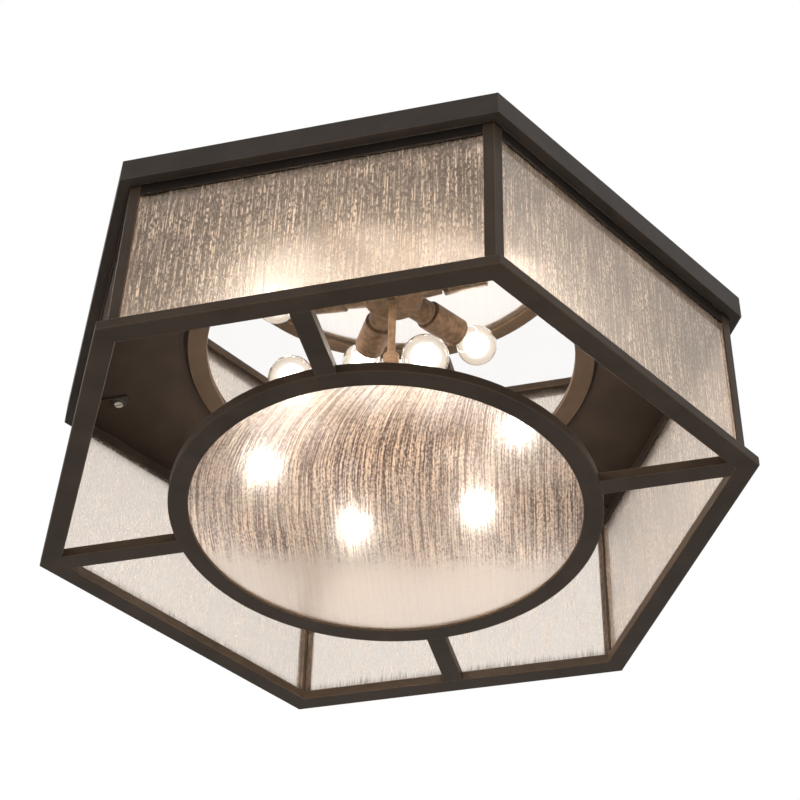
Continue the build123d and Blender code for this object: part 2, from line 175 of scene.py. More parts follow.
def mottled(tree: NodeTree, place: NodeSocket, size_mm: float, first: str, second: str,
            detail: float = 2.0) -> tuple[Node, Node]:
    """Adds an uneven colour.

    Args:
        tree: Node tree of the material.
        place: The piece's own coordinates.
        size_mm: Size of the patches.
        first: Colour at one end.
        second: Colour at the other end.
        detail: How many finer layers the patches have.

    Returns:
        The noise of the patches and their colour.
    """
    noise = add_node(tree, NOISE, {"Vector": place, "Scale": per_mm(size_mm), "Detail": detail})
    tone = add_node(tree, COLOUR_MIX, {0: noise, 6: linear(first), 7: linear(second)}, data_type="RGBA")
    return noise, tone


def let_lamp_light_through(tree: NodeTree, shader: Node, tint: str) -> Node:
    """Mixes a glass shader so that light from the lamps passes it.

    Args:
        tree: Node tree of the glass.
        shader: Glass shader for all other rays.
        tint: Colour that the passing light takes.

    Returns:
        The mixed shader.
    """
    path = add_node(tree, "ShaderNodeLightPath")
    clear = add_node(tree, "ShaderNodeBsdfTransparent", {"Color": linear(tint)})
    return add_node(tree, SHADER_MIX, {0: path.outputs["Is Shadow Ray"], 1: shader, 2: clear})


def seen_plainly(tree: NodeTree) -> NodeSocket | Node:
    """Picks out the rays that show a background to the eye.

    Args:
        tree: Node tree of the background.

    Returns:
        One for rays straight to the eye, in glass and in metal, and nought for others.
    """
    path = add_node(tree, "ShaderNodeLightPath")
    seen = path.outputs["Is Camera Ray"]
    for label in ("Is Glossy Ray", "Is Transmission Ray"):
        seen = add_node(tree, MATH, {0: seen, 1: path.outputs[label]}, operation="MAXIMUM")
    return seen


def bend_lines(tree: NodeTree, along: NodeSocket, across: NodeSocket | Node,
               sizes: tuple[Any, Any, Any, Any, Any]) -> Node:
    """Makes the straight lines of a drawn sheet lean, and curl over towards one end.

    Args:
        tree: Node tree of the glass or of its shape.
        along: Place along the lines.
        across: Place across the lines.
        sizes: Half of the sheet along and across the lines, its lean, how far the lines curl at most and
            how far the curl reaches, as numbers or sockets.

    Returns:
        The place across the bent lines.
    """
    half_along, half_across, lean, curl, reach = sizes
    edge = add_node(tree, MATH, {0: along, 1: half_along}, operation="ADD")
    far = add_node(tree, MATH, {0: edge, 1: reach}, operation="DIVIDE")
    fade = add_node(tree, MATH, {0: 1.0 / math.e, 1: far}, operation="POWER")
    low = add_node(tree, MATH, {0: half_across, 1: -1.0}, operation="MULTIPLY")
    side = add_node(tree, RANGE, {"Value": across, **spans((low, half_across))})
    bent = add_node(tree, MATH, {0: side, 1: 2.0}, operation="POWER")
    shift = add_node(tree, MATH, {0: bent, 1: curl}, operation="MULTIPLY")
    pushed = add_node(tree, MATH, {0: fade, 1: shift}, operation="MULTIPLY")
    leant = add_node(tree, MATH, {0: along, 1: lean, 2: across}, operation="MULTIPLY_ADD")
    return add_node(tree, MATH, {0: leant, 1: pushed}, operation="ADD")


class Finish:
    """A finish that makes its material once and then gives the same one."""

    made: ClassVar[dict[str, Material]] = {}

    def build(self) -> Material:
        """Makes the node material."""
        raise NotImplementedError

    def material(self) -> Material:
        """Gives the finish's material.

        Returns:
            The material, which is the same at each call.
        """
        key = repr(self)
        if key not in Finish.made:
            Finish.made[key] = self.build()
        return Finish.made[key]


@dataclass(frozen=True)
class BronzePowderCoat(Finish):
    """Satin dark bronze powder coat on steel: near black brown, softly mottled, edges paler from wear and
    painted highlight, painted shade above a set height.
    """

    name: str = "bronze_powder_coat"
    coat: str = "#40352c"
    coat_dark: str = "#342b23"
    # Paler edge colour: partly wear, partly painted highlight.
    wear_and_highlight: str = "#786452"
    roughness: float = 0.46
    mottle_mm: float = 38.0
    mottle_span: Span = (0.28, 0.72)
    peel_mm: float = 1.4
    peel_depth_mm: float = 0.06
    peel_strength: float = 0.35
    peel_roughness: float = 0.06
    edge_mm: float = 1.2
    edge_span: Span = (0.99, 0.8)
    wear_and_highlight_share: float = 0.85
    sheen: float = 0.10
    # Painted shade: above a set height the coat turns to this darker colour, for faces up under the plate.
    inner: str = "#2a241f"
    shade_from_mm: float = 1.0

    def build(self) -> Material:
        """Makes the node material.

        Returns:
            The material.
        """
        material, tree, place = new_material(self.name)
        mottle = add_node(tree, NOISE, {"Vector": place, "Scale": per_mm(self.mottle_mm), "Detail": 4.0})
        # The peel of the coat is finer than this in life, and is drawn coarser so that it shows.
        peel = add_node(tree, NOISE, {"Vector": place, "Scale": per_mm(self.peel_mm), "Detail": 2.0})
        patch = add_node(tree, RANGE, {"Value": mottle, **spans(self.mottle_span)})
        tone = add_node(tree, COLOUR_MIX, {0: patch, 6: linear(self.coat_dark), 7: linear(self.coat)},
                        data_type="RGBA")
        # The edges are painted paler: partly wear, partly painted highlight.
        rounded = add_node(tree, "ShaderNodeBevel", {"Radius": self.edge_mm * MM}, samples=4)
        facing = add_node(tree, "ShaderNodeNewGeometry").outputs["Normal"]
        agree = add_node(tree, "ShaderNodeVectorMath", {0: rounded, 1: facing}, operation="DOT_PRODUCT")
        edge = add_node(tree, RANGE, {"Value": agree, **spans(self.edge_span, (0.0, self.wear_and_highlight_share))})
        colour = add_node(tree, COLOUR_MIX, {0: edge, 6: tone, 7: linear(self.wear_and_highlight)}, data_type="RGBA")
        # Painted shade: above the set height the colour turns to the darker shade colour.
        height = add_node(tree, SPLIT, {0: place}).outputs["Z"]
        line = self.shade_from_mm * MM
        shaded_above = add_node(tree, RANGE, {"Value": height, **spans((line - MM, line))})
        kept = add_node(tree, COLOUR_MIX, {0: shaded_above, 6: colour, 7: linear(self.inner)}, data_type="RGBA")
        swing = (self.roughness - self.peel_roughness, self.roughness + self.peel_roughness)
        rough = add_node(tree, RANGE, {"Value": peel, **spans(FULL, swing)})
        bump = add_node(tree, BUMP, {"Strength": self.peel_strength, "Distance": self.peel_depth_mm * MM,
                                     "Height": peel, "Normal": rounded})
        return end_material(material, add_node(
            tree, PRINCIPLED,
            {"Base Color": kept, "Roughness": rough, "Normal": bump, "Specular IOR Level": self.sheen}))


@dataclass(frozen=True)
class BrightMetal(Finish):
    """Bare or plated metal: a tinted mirror, blurred by roughness, with faint stains and fine scratches."""

    name: str
    clean: str
    stained: str
    roughness: float
    stain_mm: float = 9.0
    scratch_mm: float = 0.8
    scratch_depth_mm: float = 0.03
    scratch_strength: float = 0.2
    scratch_swing: Span = (0.8, 1.3)

    def build(self) -> Material:
        """Makes the node material.

        Returns:
            The material.
        """
        material, tree, place = new_material(self.name)
        colour = mottled(tree, place, self.stain_mm, self.clean, self.stained, 5.0)[1]
        # Real scratches are finer than this, and are drawn coarser so that they show.
        scratch = add_node(tree, NOISE, {"Vector": place, "Scale": per_mm(self.scratch_mm), "Detail": 2.0})
        low, high = (self.roughness * share for share in self.scratch_swing)
        rough = add_node(tree, RANGE, {"Value": scratch, **spans(FULL, (low, high))})
        bump = add_node(tree, BUMP, {"Strength": self.scratch_strength,
                                     "Distance": self.scratch_depth_mm * MM, "Height": scratch})
        return end_material(material, add_node(
            tree, PRINCIPLED, {"Base Color": colour, "Metallic": 1.0, "Roughness": rough, "Normal": bump}))


@dataclass(frozen=True)
class SilveredMirror(Finish):
    """Silvered float glass: a clear, almost colourless reflection under a trace of dust."""

    name: str = "silvered_mirror_glass"
    silver: str = WHITE
    dust: str = "#fcfaf7"
    roughness: float = 0.012
    dust_mm: float = 22.0

    def build(self) -> Material:
        """Makes the node material.

        Returns:
            The material.
        """
        material, tree, place = new_material(self.name)
        dust, colour = mottled(tree, place, self.dust_mm, self.silver, self.dust, 8.0)
        rough = add_node(tree, RANGE, {"Value": dust, **spans(FULL, (0.0, 2 * self.roughness))})
        return end_material(material, add_node(
            tree, PRINCIPLED, {"Base Color": colour, "Metallic": 1.0, "Roughness": rough}))


@dataclass(frozen=True)
class SeededGlass(Finish):
    """Drawn side of seeded glass: clear, faintly warm, clouded by fine lines and seeds that catch light."""

    name: str = "seeded_pane_glass"
    tint: str = "#d8cbbe"
    passed: str = "#ffeddc"
    returned: str = "#d0c3b8"
    # Painted shade: dark colour for the rail and frame seen through the glass.
    painted_shade: str = "#33261d"
    line_mm: float = 1.05
    line_ratio: float = 60.0
    bead_mm: float = 1.7
    bead_ratio: float = 2.6
    bead_span: Span = (0.40, 0.56)
    seed_mm: float = 1.9
    seed_ratio: float = 1.8
    seed_span: Span = (0.36, 0.14)
    wave_mm: float = 5.0
    wave_ratio: float = 14.0
    cloud_mm: float = 26.0
    cloud_ratio: float = 1.6
    cloud_span: Span = (0.3, 0.7)
    cloud_least: float = 0.4
    line_depth_mm: float = 0.10
    seed_depth_mm: float = 0.12
    wave_depth_mm: float = 0.30
    haze: float = 0.22
    spread: float = 0.68
    spread_share: float = 0.28
    veil: Span = (0.05, 0.76)
    seed_veil: float = 0.4
    line_span: Span = (0.45, 0.62)
    bounce: float = 0.32
    gloss: str = "#303030"
    shade: str = "#c8beb4"
    # Painted shade under the top rail and along the foot in the channel.
    rail_shade_mm: Span = (-60.0, -38.0)
    rail_shade_ramp: Span = (-2.7, -0.3)
    shade_most: float = 0.4
    foot_shade_mm: Span = (-204.0, -186.0)
    foot_shade_ramp: Span = (-0.5, -2.4)
    foot_shade_most: float = 0.7
    ragged: float = 3.0
    ragged_span: Span = (0.0, 0.7)

    def lay(self, tree: NodeTree, place: NodeSocket) -> NodeSocket | Node:
        """Gives the coordinates of the drawn lines, which run along the third axis."""
        return place

    def painted_shade_mask(self, tree: NodeTree, place: NodeSocket, lines: Node, beads: Node) -> Node:
        """Gives where painted shade darkens the glass, under the top rail and along its foot in the channel.

        Args:
            tree: Node tree of the glass.
            place: The piece's own coordinates.
            lines: Fine lines, which make the edge ragged.
            beads: Beads along the lines, not used here.

        Returns:
            Nought for clear glass to one for painted shade.
        """
        height = add_node(tree, SPLIT, {0: place}).outputs["Z"]
        masks = []
        for (low, high), ramp, most in ((self.rail_shade_mm, self.rail_shade_ramp, self.shade_most),
                                        (self.foot_shade_mm, self.foot_shade_ramp, self.foot_shade_most)):
            near = add_node(tree, RANGE, {"Value": height, **spans((low * MM, high * MM), ramp)})
            edge = add_node(tree, MATH, {0: lines, 1: self.ragged, 2: near}, operation="MULTIPLY_ADD")
            masks.append(add_node(tree, RANGE, {"Value": edge, **spans(self.ragged_span, (0.0, most))}))
        return add_node(tree, MATH, dict(enumerate(masks)), operation="MAXIMUM")

    def shown(self, tree: NodeTree, place: NodeSocket, marks: Node) -> Node:
        """Gives the lines and seeds as strongly as they show, here at their full strength all over."""
        return marks

    def build(self) -> Material:
        """Makes the node material.

        Returns:
            The material.
        """
        material, tree, place = new_material(self.name)
        laid = self.lay(tree, place)

        def pattern(kind: str, size_mm: float, ratio: float, **sockets: float) -> Node:
            """Draws a texture of long marks.

            Args:
                kind: Blender's name of the texture.
                size_mm: Width of a mark.
                ratio: How many times as long it is.
                **sockets: Values of the texture's other inputs.

            Returns:
                The texture.
            """
            across, along = per_mm(size_mm), per_mm(size_mm * ratio)
            grid = add_node(tree, "ShaderNodeVectorMath", {0: laid, 1: (across, across, along)},
                            operation="MULTIPLY")
            return add_node(tree, kind, {"Vector": grid, "Scale": 1.0, **sockets})

        line = pattern(NOISE, self.line_mm, self.line_ratio, Detail=2.0, Roughness=0.6)
        bead = pattern(NOISE, self.bead_mm, self.bead_ratio, Detail=1.0)
        wave = pattern(NOISE, self.wave_mm, self.wave_ratio, Detail=1.0)
        cloud = pattern(NOISE, self.cloud_mm, self.cloud_ratio, Detail=3.0, Roughness=0.6)
        spots = pattern("ShaderNodeTexVoronoi", self.seed_mm, self.seed_ratio)
        seed = add_node(tree, RANGE, {"Value": spots, **spans(self.seed_span)})
        relief: dict[str, Node] = {}
        for height, depth_mm in ((wave, self.wave_depth_mm), (line, self.line_depth_mm),
                                 (seed, self.seed_depth_mm)):
            relief = {"Normal": add_node(tree, BUMP, {"Strength": 1.0, "Distance": depth_mm * MM,
                                                      "Height": height, **relief})}
        # Painted shade: the glass turns towards a darker colour where the mask says.
        painted_shade = self.painted_shade_mask(tree, place, line, bead)
        colour, lit, sent = (
            add_node(tree, COLOUR_MIX, {0: painted_shade, 6: linear(code), 7: linear(self.painted_shade)}, data_type="RGBA")
            for code in (self.tint, self.passed, self.returned))
        clear, broad = (
            add_node(tree, PRINCIPLED,
                     {"Base Color": colour, "Roughness": rough, "IOR": GLASS_IOR, "Transmission Weight": 1.0,
                      "Specular Tint": linear(self.gloss), **relief})
            for rough in (self.haze, self.spread))
        glass = add_node(tree, SHADER_MIX, {0: self.spread_share, 1: clear, 2: broad})
        onward = add_node(tree, "ShaderNodeBsdfTranslucent", {"Color": lit})
        back = add_node(tree, "ShaderNodeBsdfDiffuse", {"Color": sent})
        frost = add_node(tree, SHADER_MIX, {0: self.bounce, 1: onward, 2: back})
        drawn = add_node(tree, RANGE, {"Value": line, **spans(self.line_span)})
        broken = add_node(tree, RANGE, {"Value": bead, **spans(self.bead_span)})
        beaded = add_node(tree, MATH, {0: drawn, 1: broken}, operation="MULTIPLY")
        thick = add_node(tree, RANGE, {"Value": cloud, **spans(self.cloud_span, (self.cloud_least, 1.0))})
        streaks = add_node(tree, MATH, {0: beaded, 1: thick}, operation="MULTIPLY")
        dots = add_node(tree, MATH, {0: seed, 1: self.seed_veil}, operation="MULTIPLY")
        both = add_node(tree, MATH, {0: streaks, 1: dots}, operation="MAXIMUM")
        marks = self.shown(tree, place, both)
        veil = add_node(tree, RANGE, {"Value": marks, **spans(FULL, self.veil)})
        mixed = add_node(tree, SHADER_MIX, {0: veil, 1: glass, 2: frost})
        return end_material(material, let_lamp_light_through(tree, mixed, self.shade))


@dataclass(frozen=True)
class SeededWindowGlass(SeededGlass):
    """The same glass cut to a disc, whose lines lean and curl where the sheet was drawn off."""

    name: str = "seeded_window_glass"
    tint: str = WHITE
    # Painted shade: brown for the dark inside seen through the grains, dying out away from the curl.
    painted_shade: str = "#6a3a1e"
    passed: str = "#f4d3b4"
    returned: str = "#fff6ee"
    line_mm: float = 1.15
    line_ratio: float = 70.0
    bead_mm: float = 1.7
    bead_ratio: float = 2.4
    grain: float = 0.34
    seed_mm: float = 1.6
    seed_depth_mm: float = 0.08
    spread: float = 0.46
    spread_share: float = 0.52
    veil: Span = (0.02, 0.62)
    seed_veil: float = 0.75
    line_span: Span = (0.46, 0.62)
    bounce: float = 0.46
    gloss: str = "#141414"
    shade_span: Span = (0.57, 0.42)
    shade_most: float = 0.85
    heading_deg: float = 106.0
    lean: float = 0.10
    fade_mm: Span = (84.0, 116.0)
    fade_least: float = 0.08
    fade_veil: float = 0.1
    ragged_mm: float = 62.0
    ragged_size_mm: float = 9.0
    sway_mm: float = 3.0
    sway_size_mm: float = 34.0
    curl_mm: float = 230.0
    curl_reach_mm: float = 55.0
    radius_mm: float = 190.5

    def turned(self, tree: NodeTree, place: NodeSocket) -> Any:
        """Gives the disc's coordinates along the lines, across them and up, before they bend."""
        turn = (0.0, 0.0, -math.radians(self.heading_deg))
        return add_node(tree, SPLIT, {0: add_node(tree, "ShaderNodeMapping",
                                                  {"Vector": place, "Rotation": turn})}).outputs

    def lay(self, tree: NodeTree, place: NodeSocket) -> NodeSocket | Node:
        """Gives the coordinates of the drawn lines, which run along the third axis.

        Args:
            tree: Node tree of the glass.
            place: The piece's own coordinates.

        Returns:
            Coordinates across the bent lines, up and along them.
        """
        along, across, up = self.turned(tree, place)
        radius = self.radius_mm * MM
        curled = bend_lines(tree, along, across,
                            (radius, radius, self.lean, self.curl_mm * MM, self.curl_reach_mm * MM))
        sway = add_node(tree, NOISE, {"Vector": place, "Scale": per_mm(self.sway_size_mm), "Detail": 2.0})
        swayed = add_node(tree, MATH, {0: sway, 1: self.sway_mm * MM, 2: curled}, operation="MULTIPLY_ADD")
        return add_node(tree, JOIN, {0: swayed, 1: up, 2: along})

    def painted_shade_mask(self, tree: NodeTree, place: NodeSocket, lines: Node, beads: Node) -> Node:
        """Gives painted brown shade in the grains between the lines and beads.

        Args:
            tree: Node tree of the glass.
            place: The piece's own coordinates.
            lines: Fine lines.
            beads: Beads along the lines.

        Returns:
            Nought for clear glass to one for painted shade.
        """
        grain = add_node(tree, COLOUR_MIX, {0: self.grain, 2: lines, 3: beads}, data_type="FLOAT")
        gaps = add_node(tree, RANGE, {"Value": grain, **spans(self.shade_span, (0.0, self.shade_most))})
        return self.fade(tree, place, gaps, 0.0)

    def shown(self, tree: NodeTree, place: NodeSocket, marks: Node) -> Node:
        """Gives the lines and seeds as strongly as they show, dying out away from the curl."""
        return self.fade(tree, place, marks, self.fade_veil)

    def fade(self, tree: NodeTree, place: NodeSocket, marks: Node, last: float) -> Node:
        """Fades marks towards the end away from the curl.

        Args:
            tree: Node tree of the glass.
            place: The piece's own coordinates.
            marks: Marks at their full strength.
            last: Even strength that they sink to at the end.

        Returns:
            The faded marks.
        """
        patch = add_node(tree, NOISE, {"Vector": place, "Scale": per_mm(self.ragged_size_mm), "Detail": 3.0})
        edge = add_node(tree, MATH, {0: patch, 1: self.ragged_mm * MM, 2: self.turned(tree, place)[0]},
                        operation="MULTIPLY_ADD")
        start, end = (distance * MM for distance in self.fade_mm)
        kept = add_node(tree, RANGE, {"Value": edge, **spans((start, end), (1.0, self.fade_least))})
        return add_node(tree, COLOUR_MIX, {0: kept, 2: last, 3: marks}, data_type="FLOAT")


@dataclass(frozen=True)
class ClearGlass(Finish):
    """Smooth clear glass: bright, faintly tinted, with slow waves that bend what is seen through it."""

    name: str
    tint: str
    wave_mm: float
    wave_depth_mm: float
    wave_strength: float
    gloss: str = WHITE

    def build(self) -> Material:
        """Makes the node material.

        Returns:
            The material.
        """
        material, tree, place = new_material(self.name)
        wave = add_node(tree, NOISE, {"Vector": place, "Scale": per_mm(self.wave_mm), "Detail": 1.0})
        bump = add_node(tree, BUMP, {"Strength": self.wave_strength, "Distance": self.wave_depth_mm * MM,
                                     "Height": wave})
        glass = add_node(tree, PRINCIPLED,
                         {"Base Color": linear(self.tint), "Roughness": 0.0, "IOR": GLASS_IOR,
                          "Transmission Weight": 1.0, "Specular Tint": linear(self.gloss), "Normal": bump})
        return end_material(material, let_lamp_light_through(tree, glass, self.tint))


@dataclass(frozen=True)
class LampGlow(Finish):
    """Glow round a lit filament: white in the middle and thinning to warm cream at its rim."""

    name: str = "lamp_glow"
    core: str = "#fffdf8"
    rim: str = "#f8e0ca"
    strength: float = 16.0
    sharpness: float = 3.0
    cloud_mm: float = 5.0
    cloud_share: float = 0.10
    hot_span: Span = (0.0, 0.40)
    warm_span: Span = (0.05, 0.8)
    even: Span = (0.84, 1.1)
    dense_span: Span = (0.35, 0.95)
    dense_least: float = 0.35

    def build(self) -> Material:
        """Makes the node material.

        Returns:
            The material.
        """
        material, tree, place = new_material(self.name)
        material.cycles.emission_sampling = "NONE"
        cloud = add_node(tree, NOISE, {"Vector": place, "Scale": per_mm(self.cloud_mm), "Detail": 2.0})
        facing = add_node(tree, "ShaderNodeLayerWeight", {"Blend": 0.5}).outputs["Facing"]
        uneven = add_node(tree, MATH, {0: cloud, 1: self.cloud_share, 2: -self.cloud_share / 2},
                          operation="MULTIPLY_ADD")
        out = add_node(tree, MATH, {0: facing, 1: uneven}, operation="ADD")
        hot = add_node(tree, RANGE, {"Value": out, **spans(self.hot_span, (1.0, 0.0))},
                       interpolation_type="SMOOTHSTEP")
        warm = add_node(tree, RANGE, {"Value": out, **spans(self.warm_span, (1.0, 0.0))})
        colour = add_node(tree, COLOUR_MIX, {0: warm, 6: linear(self.rim), 7: linear(self.core)},
                          data_type="RGBA")
        peak = add_node(tree, MATH, {0: hot, 1: self.sharpness}, operation="POWER")
        even = add_node(tree, RANGE, {"Value": warm, **spans(FULL, self.even)})
        power = add_node(tree, MATH, {0: peak, 1: self.strength, 2: even}, operation="MULTIPLY_ADD")
        dense = add_node(tree, RANGE, {"Value": out, **spans(self.dense_span, (1.0, self.dense_least))})
        light = add_node(tree, "ShaderNodeEmission", {"Color": colour, "Strength": power})
        clear = add_node(tree, "ShaderNodeBsdfTransparent")
        glow = add_node(tree, SHADER_MIX, {0: dense, 1: clear, 2: light})
        return end_material(material, let_lamp_light_through(tree, glow, WHITE))


@dataclass(frozen=True)
class HotTungsten(Finish):
    """White hot tungsten wire, a little uneven along its length."""

    name: str = "hot_tungsten"
    hot: str = "#fff0d0"
    dim: str = "#ffd9a0"
    strength: float = 12.0
    patch_mm: float = 4.0

    def build(self) -> Material:
        """Makes the node material.

        Returns:
            The material.
        """
        material, tree, place = new_material(self.name)
        material.cycles.emission_sampling = "NONE"
        colour = mottled(tree, place, self.patch_mm, self.hot, self.dim)[1]
        return end_material(material, add_node(
            tree, "ShaderNodeEmission", {"Color": colour, "Strength": self.strength}))


@dataclass(frozen=True)
class DullSolid(Finish):
    """Moulded phenolic or foam: dull and dark with a fine grain."""

    name: str
    light: str
    dark: str
    roughness: float
    grain_mm: float
    grain_depth_mm: float = 0.15
    grain_strength: float = 0.5

    def build(self) -> Material:
        """Makes the node material.

        Returns:
            The material.
        """
        material, tree, place = new_material(self.name)
        grain, colour = mottled(tree, place, self.grain_mm, self.dark, self.light, 3.0)
        bump = add_node(tree, BUMP, {"Strength": self.grain_strength, "Distance": self.grain_depth_mm * MM,
                                     "Height": grain})
        return end_material(material, add_node(
            tree, PRINCIPLED, {"Base Color": colour, "Roughness": self.roughness, "Normal": bump}))


@dataclass(frozen=True)
class FloorPaint(Finish):
    """Matt pale floor paint: nearly white and faintly uneven, and white to the eye but for a soft shadow."""

    name: str = "pale_floor_paint"
    light: str = "#f0eeea"
    dark: str = "#e9e6e1"
    patch_mm: float = 1000.0 / 3.0
    whiteness: float = 0.93

    def build(self) -> Material:
        """Makes the node material.

        Returns:
            The material.
        """
        material, tree, place = new_material(self.name)
        matt = add_node(tree, "ShaderNodeBsdfDiffuse",
                        {"Color": mottled(tree, place, self.patch_mm, self.light, self.dark)[1]})
        white = add_node(tree, "ShaderNodeEmission", {"Color": linear(WHITE), "Strength": 1.0})
        veiled = add_node(tree, SHADER_MIX, {0: self.whiteness, 1: matt, 2: white})
        return end_material(material, add_node(
            tree, SHADER_MIX, {0: seen_plainly(tree), 1: matt, 2: veiled}))


BRONZE = BronzePowderCoat()
# Corner bars: their tops under the plate darken to painted shade.
TOP_SHADED_BAR_BRONZE = BronzePowderCoat("bronze_powder_coat_bars_shaded_top", shade_from_mm=-13.0)
# A darker, greyer copy of the coat for the band: painted shade.
SHADED_BAND_BRONZE = BronzePowderCoat("bronze_powder_coat_band_shaded", "#3a332e", "#302a25", "#6d5d4f")
# A much darker copy of the coat for the top rails: painted shade under the band.
SHADED_RAIL_BRONZE = BronzePowderCoat("bronze_powder_coat_rails_shaded", "#231e1a", "#1b1714", "#40362f")
# A darker copy of the coat for the plate: painted shade.
SHADED_PLATE_BRONZE = BronzePowderCoat("bronze_powder_coat_plate_shaded", "#2e2722", "#241e1a", "#54473d")
# Lacquer on the cluster: paler than the coat, blotched like old metal and glossier on the turned parts.
LACQUER = BronzePowderCoat("antique_bronze_lacquer", "#74604f", "#493c31", "#9a8873", 0.42, 6.0)
TUBE_LACQUER = BronzePowderCoat("antique_brass_lacquer", "#8b725c", "#675342", "#b89d82", 0.30, 9.0)
MIRROR = SilveredMirror()
ZINC = BrightMetal("zinc_plated_steel", "#d6d5cf", "#a9a79f", 0.28)
BRASS = BrightMetal("stamped_brass", "#d9b777", "#a98748", 0.26)
PHENOLIC = DullSolid("moulded_phenolic", "#2b2725", "#1b1817", 0.5, 0.9)
FOAM = DullSolid("closed_cell_foam", "#34322f", "#1f1e1c", 0.9, 0.7)
PANE_GLASS = SeededGlass()
WINDOW_GLASS = SeededWindowGlass()
# Fire polished outer side of the seeded glass: clear, slowly waved and with little sheen.
PANE_SIDE = ClearGlass("polished_glass_side", "#fdfcfb", 30.0, 0.25, 1.0, "#303030")
WINDOW_SIDE = ClearGlass("bloomed_glass_side", "#fdfcfb", 30.0, 0.25, 1.0, "#141414")
# Blown lamp glass: thin, smooth and barely warm, seen mostly by its rim.
LAMP_GLASS = ClearGlass("blown_lamp_glass", "#fffcf6", 14.0, 0.2, 0.3)
GLOW = LampGlow()
TUNGSTEN = HotTungsten()
FLOOR_PAINT = FloorPaint()


def dress(names: Iterable[str], finish: Finish) -> None:
    """Gives CAD nodes a finish.

    Args:
        names: Names of the nodes.
        finish: Finish for all of them.
    """
    for name in names:
        for material_slot in frame["nodes"][name].material_slots:
            material_slot.material = finish.material()
        LOG.info("dressed %s in %s", name, finish.material().name)


def numbered(stem: str, count: int = SIDES) -> list[str]:
    """Gives the names stem_1 to stem_count."""
    return [f"{stem}_{number}" for number in range(1, count + 1)]


def add_piece(name: str, mesh: Mesh, body: str) -> Object:
    """Puts a finished mesh in the scene as a piece that rides on a body.

    Args:
        name: Name of the piece.
        mesh: Mesh in its place, with its material.
        body: Body that carries it.

    Returns:
        The new object.
    """
    piece = bpy.data.objects.new(name, mesh)
    bpy.context.scene.collection.objects.link(piece)
    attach(piece, body)
    LOG.info("made %s on %s with %d faces", name, body, len(mesh.polygons))
    return piece


def turned_mesh(name: str, profile: Iterable[tuple[float, float]], place: Matrix, finish: Finish,
                steps: int, ring: bool = False) -> Mesh:
    """Turns a closed profile round its axis.

    Args:
        name: Name of the mesh.
        profile: Radius and height of each point in mm, counter-clockwise with the axis on the left.
        place: Where the axis's origin stands.
        finish: Finish of the mesh.
        steps: Points in each turn.
        ring: Whether the profile stands off the axis and closes on its first point.

    Returns:
        The closed mesh in its place.
    """
    points: list[Vector] = []
    rings: list[list[int]] = []
    for radius, height in profile:
        if radius < 1e-6:
            rings.append([len(points)] * steps)
            points.append(Vector((0.0, 0.0, height)))
            continue
        rings.append(list(range(len(points), len(points) + steps)))
        for step in range(steps):
            angle = math.tau * step / steps
            points.append(Vector((radius * math.cos(angle), radius * math.sin(angle), height)))
    faces = []
    for low, high in zip(rings, rings[1:] + rings[:1] if ring else rings[1:]):
        for step in range(steps):
            after = (step + 1) % steps
            faces.append(list(dict.fromkeys((low[step], low[after], high[after], high[step]))))
    mesh = bpy.data.meshes.new(name)
    mesh.from_pydata([place @ (point * MM) for point in points], [], faces)
    mesh.materials.append(finish.material())
    mesh.polygons.foreach_set("use_smooth", [True] * len(mesh.polygons))
    mesh.update()
    return mesh


def grown_mesh(name: str, tree: NodeTree, values: dict[str, Any], start: Mesh | None = None) -> Mesh:
    """Runs a Geometry Nodes tree and keeps its result as a plain mesh.

    Args:
        name: Name of the mesh.
        tree: Tree to run.
        values: Value of each named input.
        start: Mesh that the tree starts from.

    Returns:
        The plain mesh.
    """
    carrier = bpy.data.objects.new(f"{name}_carrier", start or bpy.data.meshes.new(f"{name}_start"))
    bpy.context.scene.collection.objects.link(carrier)
    modifier = carrier.modifiers.new("grow", "NODES")
    modifier.node_group = tree
    for item in tree.interface.items_tree:
        if item.name in values:
            modifier[item.identifier] = values[item.name]
    bpy.context.view_layer.update()
    grown = bpy.data.meshes.new_from_object(carrier.evaluated_get(bpy.context.evaluated_depsgraph_get()))
    grown.name = name
    carrier.modifiers.remove(modifier)
    bpy.data.objects.remove(carrier)
    return grown


def new_tree(name: str, sizes: Iterable[str], counts: Iterable[str] = ()) -> tuple[NodeTree, Any]:
    """Starts a Geometry Nodes tree.

    Args:
        name: Name of the tree.
        sizes: Name of each size that it takes after the geometry.
        counts: Name of each whole number that it takes.

    Returns:
        The tree and its inputs by name.
    """
    tree = bpy.data.node_groups.new(name, "GeometryNodeTree")
    kinds = {"Geometry": "NodeSocketGeometry", **dict.fromkeys(counts, "NodeSocketInt"),
             **dict.fromkeys(sizes, "NodeSocketFloat")}
    for label, kind in kinds.items():
        tree.interface.new_socket(label, in_out="INPUT", socket_type=kind)
    tree.interface.new_socket("Geometry", in_out="OUTPUT", socket_type="NodeSocketGeometry")
    return tree, add_node(tree, "NodeGroupInput").outputs


def end_tree(tree: NodeTree, geometry: Node, finish: Finish, top: NodeSocket | bool = True,
             top_finish: Finish | None = None) -> NodeTree:
    """Ends a Geometry Nodes tree with plain geometry in its finish.

    Args:
        tree: Tree to end.
        geometry: Geometry that it gives.
        finish: Finish of the geometry.
        top: Faces that are smooth.
        top_finish: Finish of those faces, where they have their own.

    Returns:
        The finished tree.
    """
    plain = add_node(tree, "GeometryNodeRealizeInstances", {"Geometry": geometry})
    smooth = add_node(tree, "GeometryNodeSetShadeSmooth", {"Geometry": plain, "Shade Smooth": top})
    coated = add_node(tree, "GeometryNodeSetMaterial", {"Geometry": smooth, "Material": finish.material()})
    if top_finish is not None:
        coated = add_node(tree, "GeometryNodeSetMaterial",
                          {"Geometry": coated, "Selection": top, "Material": top_finish.material()})
    add_node(tree, "NodeGroupOutput", {"Geometry": coated})
    return tree


